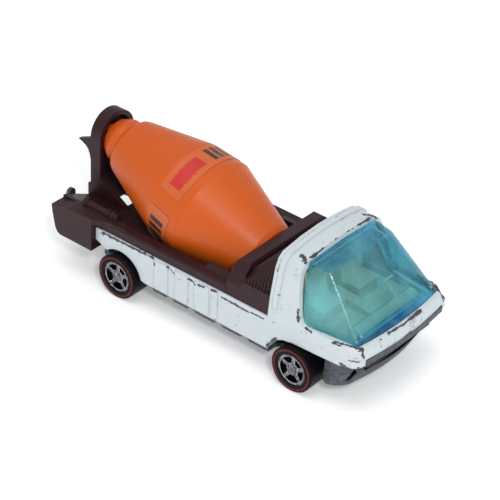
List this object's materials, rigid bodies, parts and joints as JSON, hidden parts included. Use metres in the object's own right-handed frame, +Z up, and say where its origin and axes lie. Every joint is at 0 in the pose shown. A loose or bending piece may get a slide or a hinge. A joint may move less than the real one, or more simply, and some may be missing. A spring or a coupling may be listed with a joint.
{
  "type": "toy cement mixer lorry",
  "caption": "Toy cement mixer lorry with a free-turning tilted drum, faceted clear cab and free-rolling wheels.",
  "frame": {"origin": "middle of the bounding box at road level", "axes": "+X forward along the length, +Y to the left of the vehicle, +Z up"},
  "size_m": [0.0902, 0.0352, 0.0342],
  "materials": {
    "white_paint": "gloss enamel, chipped at the edges",
    "bare_casting": null,
    "blue_clear": "clear blue moulded plastic",
    "cream_plastic": "matt",
    "brown_plastic": "satin",
    "orange_plastic": "glossy",
    "clear_label": "thin clear film",
    "steel_wire": "drawn wire",
    "black_plastic": "satin black with one painted red ring",
    "chrome_insert": "vacuum plated",
    "white_bearing": "low-friction plastic"
  },
  "bodies": {
    "chassis": {"cab_body": "white_paint", "base_plate": "bare_casting", "windshield": "blue_clear", "cab_interior": "cream_plastic", "mixer_bed": "brown_plastic", "axle_front": "steel_wire", "axle_rear": "steel_wire"},
    "drum": {"drum_front": "orange_plastic", "drum_rear": "orange_plastic", "label_a": "clear_label", "label_b": "clear_label"},
    "wheel_fl_set": {"wheel_fl": "black_plastic", "hub_fl": "chrome_insert", "bush_fl": "white_bearing"},
    "wheel_fr_set": {"wheel_fr": "black_plastic", "hub_fr": "chrome_insert", "bush_fr": "white_bearing"},
    "wheel_rl_set": {"wheel_rl": "black_plastic", "hub_rl": "chrome_insert", "bush_rl": "white_bearing"},
    "wheel_rr_set": {"wheel_rr": "black_plastic", "hub_rr": "chrome_insert", "bush_rr": "white_bearing"}
  },
  "joints": [
    {"name": "wheel_fl_spin", "type": "hinge", "parent": "chassis", "child": "wheel_fl_set", "pos_m": [0.02797, 0.0148, 0.0054], "axis": [0, 1, 0], "continuous": true},
    {"name": "wheel_fr_spin", "type": "hinge", "parent": "chassis", "child": "wheel_fr_set", "pos_m": [0.02797, -0.0148, 0.0054], "axis": [0, 1, 0], "continuous": true},
    {"name": "wheel_rl_spin", "type": "hinge", "parent": "chassis", "child": "wheel_rl_set", "pos_m": [-0.02233, 0.0148, 0.0054], "axis": [0, 1, 0], "continuous": true},
    {"name": "wheel_rr_spin", "type": "hinge", "parent": "chassis", "child": "wheel_rr_set", "pos_m": [-0.02233, -0.0148, 0.0054], "axis": [0, 1, 0], "continuous": true},
    {"name": "drum_spin", "type": "hinge", "parent": "chassis", "child": "drum", "pos_m": [0.00282, 0, 0.0168], "axis": [-0.9634, 0, 0.2681], "continuous": true}
  ]
}
